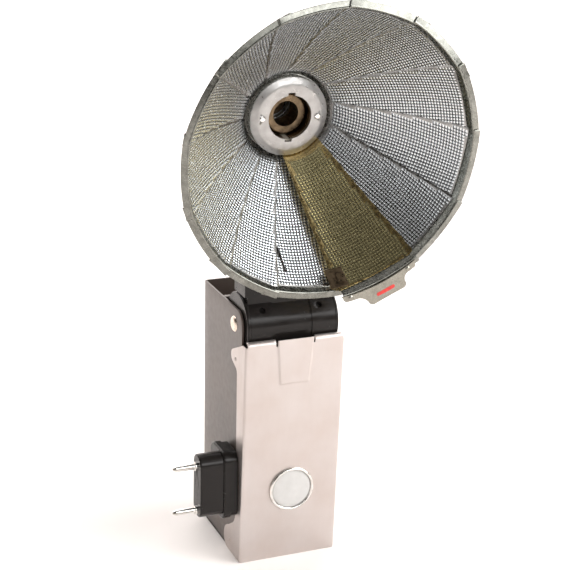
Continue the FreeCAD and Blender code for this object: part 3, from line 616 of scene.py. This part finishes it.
def build_petal(index):
    golden = index == PETAL_COUNT - 1
    turn = HEAD @ Matrix.Rotation(math.radians(petal_middle(index)), 4, "Z")
    verts, emboss, faces = petal_blade(index, golden)
    petal = make_object("petal_sheet_%02d" % (index + 1), verts, faces, turn)
    petal.data.attributes.new("emboss", "FLOAT", "POINT").data.foreach_set("value", emboss)
    tidy_mesh(petal, 0.02)
    work = bmesh.new()
    work.from_mesh(petal.data)
    layer = work.verts.layers.float.get("emboss")
    for face in work.faces:
        plain = all(abs(vert[layer] - PLAIN_LEVEL) < 0.001 for vert in face.verts)
        face.material_index = BORDER_SLOT if plain else MESH_SLOT
    add_rim_parts(work, layer, turn, index)
    if index == 0:
        cut_slot(work, turn)
    work.normal_update()
    front = HEAD.to_3x3() @ Vector((0, 0, 1))
    flipped = [f for f in work.faces if f.normal.dot(front) < 0 and f.material_index != RIM_SLOT]
    bmesh.ops.reverse_faces(work, faces=flipped)
    work.to_mesh(petal.data)
    work.free()
    add_modifier(petal, "SOLIDIFY", thickness=SKIN_T * MM, offset=-1)
    body = "head" if index == 0 else "lead_petal" if golden else "petal_%02d" % (index + 1)
    slot_name = "reflector_gold" if golden else "reflector_metal"
    materials = [MESH_GOLD, RIM, PLAIN_GOLD] if golden else [MESH_SILVER, RIM, PLAIN_SILVER]
    place(petal, body, slot_name, materials, "petal_%02d" % (index + 1))


# ---- case ---------------------------------------------------------------------------
def node_box(name):
    """A CAD node's lowest and highest corners in millimetres."""
    low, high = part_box(name)
    return low / MM, high / MM


CASE_LOW, CASE_HIGH = node_box("case_shell")
CASE_WALL = 0.8
CASE_EDGE_R = 0.22
CASE_CORNER_R = 1.6
TOP_CORNER_R = 5.0
FRONT_STEPS = 14
SIDE_STEPS = 6
WALL_ROWS = 20


def plan_path():
    """The bent sheet seen from above: down the left side, across the back and up the right."""
    half = CASE_HIGH.x
    front, back = CASE_LOW.y, CASE_HIGH.y
    flat = back - front - TOP_CORNER_R - CASE_CORNER_R
    turns = [math.pi / 2 * i / FRONT_STEPS for i in range(FRONT_STEPS + 1)]
    ys = [front + TOP_CORNER_R * (1 - math.cos(turn)) for turn in turns]
    ys += [front + TOP_CORNER_R + flat * i / SIDE_STEPS for i in range(1, SIDE_STEPS + 1)]
    path = [(-half, y) for y in ys]
    for degrees in range(15, 91, 15):
        angle = math.radians(degrees)
        x = -half + CASE_CORNER_R * (1 - math.cos(angle))
        path.append((x, back - CASE_CORNER_R * (1 - math.sin(angle))))
    path.append((-half * 0.4, back))
    return path + [(-x, y) for x, y in reversed(path)]


def wall_top(y):
    """The side walls' top edge, rounded off at the front."""
    run_in = min(TOP_CORNER_R, y - CASE_LOW.y)
    return CASE_HIGH.z - TOP_CORNER_R + math.sqrt(max(TOP_CORNER_R ** 2 - (TOP_CORNER_R - run_in) ** 2, 0))


def build_case():
    path = plan_path()
    verts = [(x, y, wall_top(y) * i / WALL_ROWS) for i in range(WALL_ROWS + 1) for x, y in path]
    sheet = make_object("case_sheet", verts, grid_faces(WALL_ROWS + 1, len(path)))
    turn_outward(sheet, (-CASE_HIGH.x, 0, CASE_HIGH.z / 2), (-1, 0, 0))
    add_modifier(sheet, "SOLIDIFY", thickness=CASE_WALL * MM, offset=-1)
    bevel(sheet, CASE_EDGE_R, 2, 50)
    place(sheet, "case", "case_paint", CASE_PAINT, "case_shell")
    place(prism("case_base", path, 0.0, CASE_WALL), "case", "case_paint", CASE_PAINT)


# ---- front cover --------------------------------------------------------------------
COVER_LEAN_DEG = 2.35
COVER_LEAN = math.tan(math.radians(COVER_LEAN_DEG))
COVER_FRONT = -22.0
COVER_GAP = 0.1
COVER_SHEET_T = 0.5
COVER_HALF = CASE_HIGH.x + COVER_GAP + COVER_SHEET_T
COVER_EDGE_R = 0.14
COVER_TOP = 89.6
ROLL_R = 1.7
ROLL_STEPS = 8
FOLD_R = 0.9
FOLD_STEPS = 5
FLANGE_STEPS = 10
LEAST_FLANGE = 0.02
CATCH_TOP_HALF = 7.1
CATCH_FOOT_HALF = 5.7
CATCH_FOOT_Z = 72.1
CATCH_RISE = 0.45
SLIT_W = 0.5
SLIT_Z = 87.0
# x values this close count as the same
SAME_X = 0.01

# the side flange's rear edge, bottom to top, as (y, z): straight lines, and arcs through three
# points with the side of their centre on which they lie
FLANGE_EDGE = [
    ("arc", (-6.8, 0.0), (-4.6, 5.4), (-8.8, 9.9), 1),
    ("line", (-8.8, 9.9), (-12.8, 12.6)),
    ("arc", (-12.8, 12.6), (-15.8, 15.4), (-16.8, 19.0), -1),
    ("line", (-16.8, 19.0), (-16.8, 74.2)),
    ("arc", (-16.8, 74.2), (-16.4, 76.2), (-14.8, 77.3), -1),
    ("line", (-14.8, 77.3), (-12.5, 78.3)),
    ("arc", (-12.5, 78.3), (-10.5, 80.8), (-12.1, 83.2), 1),
    ("line", (-12.1, 83.2), (-19.6, 86.6)),
    ("line", (-19.6, 86.6), (-25.6, 89.6)),
]

# dimples in the flanges, as (y, z), and their outline as (radius, height)
DIMPLE_SUNK = 0.05
DIMPLE_SPOTS = ((-15.1, 80.2), (-11.3, 4.6))
DIMPLE = [(0.0, 0.45), (0.35, 0.42), (0.62, 0.30), (0.82, 0.14), (0.98, 0.0), (0.98, -0.1), (0.0, -0.1)]


def spaced(start, end, step):
    """Evenly spaced values from start to end, about a step apart."""
    count = max(1, round(abs(end - start) / step))
    return [start + (end - start) * i / count for i in range(count + 1)]


# rows are close where the flange curves and where the catch stands out
COVER_HEIGHTS = spaced(0, 20, 0.5)[:-1] + spaced(20, 71, 3)[:-1] + spaced(71, COVER_TOP - ROLL_R, 0.35)
PANEL_XS = (spaced(-COVER_HALF + FOLD_R, -CATCH_TOP_HALF - SLIT_W, 0.9)
            + spaced(-CATCH_TOP_HALF, CATCH_TOP_HALF, 0.355)
            + spaced(CATCH_TOP_HALF + SLIT_W, COVER_HALF - FOLD_R, 0.9))
EDGE_COLS = FLANGE_STEPS + FOLD_STEPS
COVER_COLS = 2 * EDGE_COLS + len(PANEL_XS)


def circle_through(a, b, c):
    """Centre and radius of the circle through three (y, z) points."""
    (ay, az), (by, bz), (cy, cz) = a, b, c
    scale = 2 * (ay * (bz - cz) + by * (cz - az) + cy * (az - bz))
    a_square, b_square, c_square = ay ** 2 + az ** 2, by ** 2 + bz ** 2, cy ** 2 + cz ** 2
    centre_y = (a_square * (bz - cz) + b_square * (cz - az) + c_square * (az - bz)) / scale
    centre_z = (a_square * (cy - by) + b_square * (ay - cy) + c_square * (by - ay)) / scale
    return centre_y, centre_z, math.hypot(ay - centre_y, az - centre_z)


def flange_rear(z):
    """How far back the side flange reaches at a height."""
    for piece in FLANGE_EDGE:
        last = piece[3] if piece[0] == "arc" else piece[2]
        if z <= last[1] + 1e-6:
            if piece[0] == "line":
                (y0, z0), (y1, z1) = piece[1], piece[2]
                return y0 + (y1 - y0) * (z - z0) / (z1 - z0)
            centre_y, centre_z, radius = circle_through(*piece[1:4])
            return centre_y + piece[4] * math.sqrt(max(radius ** 2 - (z - centre_z) ** 2, 0))
    return FLANGE_EDGE[-1][2][0]


def catch_lift(x, z):
    """How far the pressed thumb catch stands out of the panel."""
    share = (z - CATCH_FOOT_Z) / (COVER_TOP - CATCH_FOOT_Z)
    half = CATCH_FOOT_HALF + (CATCH_TOP_HALF - CATCH_FOOT_HALF) * max(0.0, share)
    inside = min(half - abs(x), z - CATCH_FOOT_Z)
    return CATCH_RISE * smooth_step(-0.20, 0.30, inside)


def cover_row(z, roll):
    """One row from flange to flange; roll is how far the top edge has turned back, in radians."""
    front = COVER_FRONT - z * COVER_LEAN
    rear = max(flange_rear(z), front + FOLD_R + LEAST_FLANGE)
    side = [(COVER_HALF, rear + (front + FOLD_R - rear) * i / FLANGE_STEPS, z) for i in range(FLANGE_STEPS)]
    for i in range(FOLD_STEPS):
        angle = math.pi / 2 * i / FOLD_STEPS
        side.append((COVER_HALF - FOLD_R * (1 - math.cos(angle)), front + FOLD_R * (1 - math.sin(angle)), z))
    rolled = (front + ROLL_R * (1 - math.cos(roll)), z + ROLL_R * math.sin(roll))
    straight_z = z + ROLL_R * roll / (math.pi / 2)
    panel = []
    for x in PANEL_XS:
        if abs(x) <= CATCH_TOP_HALF + SAME_X:
            panel.append((x, COVER_FRONT - straight_z * COVER_LEAN - catch_lift(x, straight_z), straight_z))
        else:
            panel.append((x, *rolled))
    return [(-x, y, height) for x, y, height in side] + panel + side[::-1]


def cover_face_kept(row, col):
    """Leaves out the flanges beside the rolled top edge and the slits beside the catch."""
    last = len(COVER_HEIGHTS) - 1
    if row >= last and not EDGE_COLS <= col < COVER_COLS - EDGE_COLS - 1:
        return False
    index = col - EDGE_COLS
    if 0 <= index < len(PANEL_XS) - 1 and COVER_HEIGHTS[min(row, last)] > SLIT_Z:
        near, far = sorted((abs(PANEL_XS[index]), abs(PANEL_XS[index + 1])))
        return near < CATCH_TOP_HALF - SAME_X or far > CATCH_TOP_HALF + SLIT_W + SAME_X
    return True


def build_cover():
    """The folded sheet: left flange, fold, panel, fold, right flange, row by row upwards."""
    verts = []
    for z in COVER_HEIGHTS:
        verts += cover_row(z, 0.0)
    for step in range(1, ROLL_STEPS + 1):
        verts += cover_row(COVER_HEIGHTS[-1], math.pi / 2 * step / ROLL_STEPS)
    rows = len(COVER_HEIGHTS) + ROLL_STEPS
    cover = make_object("cover_sheet", verts, grid_faces(rows, COVER_COLS, keep=cover_face_kept))
    tidy_mesh(cover, 0.004)
    turn_outward(cover, (0, COVER_FRONT, 40), (0, -1, 0))
    add_modifier(cover, "SOLIDIFY", thickness=COVER_SHEET_T * MM, offset=-1)
    bevel(cover, COVER_EDGE_R, 2, 50)
    place(cover, "cover", "cover_sheet", COVER_SHEET, "front_cover")


def build_dimples():
    for side, side_name in ((-1, "left"), (1, "right")):
        for y, z in DIMPLE_SPOTS:
            matrix = sideways(side, COVER_HALF - DIMPLE_SUNK, y, z)
            dimple = lathe("cover_dimple_%s%d" % (side_name, z), DIMPLE, matrix, 24)
            place(dimple, "cover", "cover_sheet", COVER_SHEET)


# ---- badge, hinge pin, pull tab's mark -----------------------------------------------
BADGE_X = 0.5
BADGE_UP = 28.7
BADGE_RING = [(7.68, 0.0), (7.70, 0.62), (7.82, 0.88), (8.05, 1.05), (8.35, 1.10), (8.62, 0.98), (8.80, 0.70),
              (8.88, 0.35), (8.90, 0.0), (7.68, 0.0)]
BADGE_DISC = [(0.0, 0.98), (2.0, 0.97), (4.0, 0.92), (5.6, 0.84), (6.8, 0.72), (7.4, 0.58), (7.64, 0.42),
              (7.66, 0.0), (0.0, 0.0)]
PIN_R = 2.0
RIVET_CAP = [(0.0, 0.80), (0.5, 0.60), (0.9, 0.52), (1.2, 0.66), (1.6, 0.74), (2.2, 0.62), (2.7, 0.34),
             (2.95, 0.10), (3.0, 0.0), (0.0, 0.0)]
TAB_T = 0.6
TAB_FACE_Z = FLANGE_Z + petal_lift(PETAL_COUNT - 1) + PETAL_SHEET + TAB_T
MARK_INNER_R, MARK_OUTER_R = 54.2, 55.6
MARK_FIRST_DEG, MARK_LAST_DEG = -68.0, -61.9
MARK_SUNK, MARK_PROUD = 0.1, 0.06
MARK_STEPS = 14
MARK_END_STEPS = 6


def sideways(side, x, y, z):
    """Places a turned piece at the left (-1) or right (1), with its +Z out to that side."""
    return Matrix.Translation((side * x, y, z)) @ Matrix.Rotation(side * math.pi / 2, 4, "Y")


def build_badge():
    lean = Matrix.Rotation(math.radians(90 + COVER_LEAN_DEG), 4, "X")
    at = Matrix.Translation((0, COVER_FRONT, 0)) @ lean @ Matrix.Translation((BADGE_X, BADGE_UP, 0))
    place(lathe("badge_bezel", BADGE_RING, at, 96), "cover", "badge_chrome", CHROME, "badge_ring")
    place(lathe("badge_face", BADGE_DISC, at, 96), "cover", "badge_white", WHITE, "badge_disc")


def build_hinge_pin():
    _, pin_y, pin_z = (value / MM for value in joints["head_tilt"]["pos_m"])
    half = CASE_HIGH.x
    shank = [(0.0, -half), (PIN_R, -half), (PIN_R, half), (0.0, half)]
    parts = [lathe("rivet", RIVET_CAP, sideways(side, half, pin_y, pin_z), 40) for side in (-1, 1)]
    parts.append(lathe("shank", shank, sideways(1, 0, pin_y, pin_z), 40))
    pin = join("hinge_rivets", parts)
    pin.data.set_sharp_from_angle(angle=math.radians(40))
    place(pin, "case", "pin_nickel", RIVET, "hinge_pin")


def build_tab_mark():
    """A plain red bar painted on the pull tab, with round ends."""
    middle = (MARK_INNER_R + MARK_OUTER_R) / 2
    half = (MARK_OUTER_R - MARK_INNER_R) / 2
    sweep = MARK_LAST_DEG - MARK_FIRST_DEG
    angles = [math.pi * i / MARK_END_STEPS for i in range(1, MARK_END_STEPS)]
    ends = [(half * math.cos(a), math.degrees(half * math.sin(a) / middle)) for a in angles]
    polar = [(MARK_OUTER_R, MARK_FIRST_DEG + sweep * i / MARK_STEPS) for i in range(MARK_STEPS + 1)]
    polar += [(middle + out, MARK_LAST_DEG + on) for out, on in ends]
    polar += [(MARK_INNER_R, MARK_LAST_DEG - sweep * i / MARK_STEPS) for i in range(MARK_STEPS + 1)]
    polar += [(middle - out, MARK_FIRST_DEG - on) for out, on in ends]
    outline = [(r * math.cos(math.radians(a)), r * math.sin(math.radians(a))) for r, a in polar]
    mark = prism("tab_mark", outline, TAB_FACE_Z - MARK_SUNK, TAB_FACE_Z + MARK_PROUD, HEAD, smooth=False)
    place(mark, "lead_petal", "tab_metal", RED)


# ---- rounded edges on the CAD's own pieces -------------------------------------------
ROUNDED = {
    "head_moulding": 0.35, "plug_base": 0.3, "plug_body": 0.3, "face_ring": 0.12, "pull_tab": 0.15,
    "head_stop_bar": 0.2, "barrel_end_left": 0.2, "barrel_end_right": 0.2, "mini_collar": 0.2,
    "latch_clip": 0.1, "rear_cap": 0.2,
}


def round_edges(name, width):
    obj = nodes[name]
    add_modifier(obj, "WELD", merge_threshold=0.002 * MM)
    bevel(obj, width, 2, 38)
    add_modifier(obj, "WEIGHTED_NORMAL", keep_sharp=False, weight=50)


for petal_index in range(PETAL_COUNT):
    build_petal(petal_index)
build_case()
build_cover()
build_dimples()
build_badge()
build_hinge_pin()
build_tab_mark()
for rounded_name, edge_width in ROUNDED.items():
    round_edges(rounded_name, edge_width)


# ---- camera -------------------------------------------------------------------------
def add_camera():
    """Stands to the object's left and above, turned a little about its own axis."""
    azimuth = math.radians(22.45)
    elevation = math.radians(18.35)
    roll = math.radians(1.31)
    distance = 522.4
    target = Vector((-3.36, -22.0, 109.1))
    away = Vector((-math.sin(azimuth) * math.cos(elevation), -math.cos(azimuth) * math.cos(elevation),
                   math.sin(elevation)))
    right = (-away).cross(Vector((0, 0, 1))).normalized()
    up = away.cross(right).normalized()
    side = right * math.cos(roll) + up * math.sin(roll)
    top = up * math.cos(roll) - right * math.sin(roll)
    data = bpy.data.cameras.new("camera")
    data.lens = 92.18
    data.sensor_width = 36.0
    data.clip_start = 0.01
    camera = bpy.data.objects.new("camera", data)
    matrix = Matrix((side, top, away)).transposed().to_4x4()
    matrix.translation = (target + away * distance) * MM
    camera.matrix_world = matrix
    bpy.context.scene.collection.objects.link(camera)
    bpy.context.scene.camera = camera


add_camera()


# ---- stage --------------------------------------------------------------------------
def floor_material():
    shader = Shader("floor_paper", (0.92, 0.87, 0.84), 0.9)
    return shader.bump(shader.noise(300, 3), 0.05, 0.2).material


def add_stage():
    """A pale sheet that runs out in front and curves up behind."""
    half_width_m, front, back, top, bend_r = 1.8, -1.2, 1.1, 2.2, 0.5
    profile = [(front, 0.0)]
    for step in range(13):
        angle = math.radians(90 * step / 12)
        profile.append((back - bend_r + bend_r * math.sin(angle), bend_r - bend_r * math.cos(angle)))
    profile.append((back, top))
    verts = [(x / MM, y / MM, z / MM) for y, z in profile for x in (-half_width_m, half_width_m)]
    sheet = make_object("floor", verts, grid_faces(len(profile), 2))
    sheet.data.materials.append(floor_material())


def add_light(name, size, energy, where, target=(0, -0.02, 0.11)):
    """A soft rectangular light, all in metres and watts."""
    data = bpy.data.lights.new(name, "AREA")
    data.shape = "RECTANGLE"
    data.size, data.size_y = size
    data.energy = energy
    light = bpy.data.objects.new(name, data)
    light.location = where
    light.rotation_euler = (Vector(target) - Vector(where)).to_track_quat("-Z", "Y").to_euler()
    bpy.context.scene.collection.objects.link(light)


def add_world():
    world = bpy.data.worlds.new("world")
    world.use_nodes = True
    background = world.node_tree.nodes["Background"]
    background.inputs["Color"].default_value = (0.92, 0.86, 0.78, 1)
    background.inputs["Strength"].default_value = 0.07
    bpy.context.scene.world = world


add_stage()
add_light("window", (0.9, 0.9), 15.5, (0.80, -0.42, 0.60))
add_light("front", (0.8, 0.5), 4.0, (0.35, -1.0, 0.55))
add_light("left_wall", (0.5, 0.5), 0.7, (-0.95, -0.25, 0.12), target=(0, 0, 0.05))
add_light("floor_fill", (0.8, 0.4), 2.4, (0.0, -0.65, 0.34), target=(0, -0.65, 0))
add_light("back", (1.6, 0.6), 20, (0.0, 0.55, 1.0), target=(0, 1.0, 0.2))
add_world()
bpy.context.scene.view_settings.view_transform = "Standard"
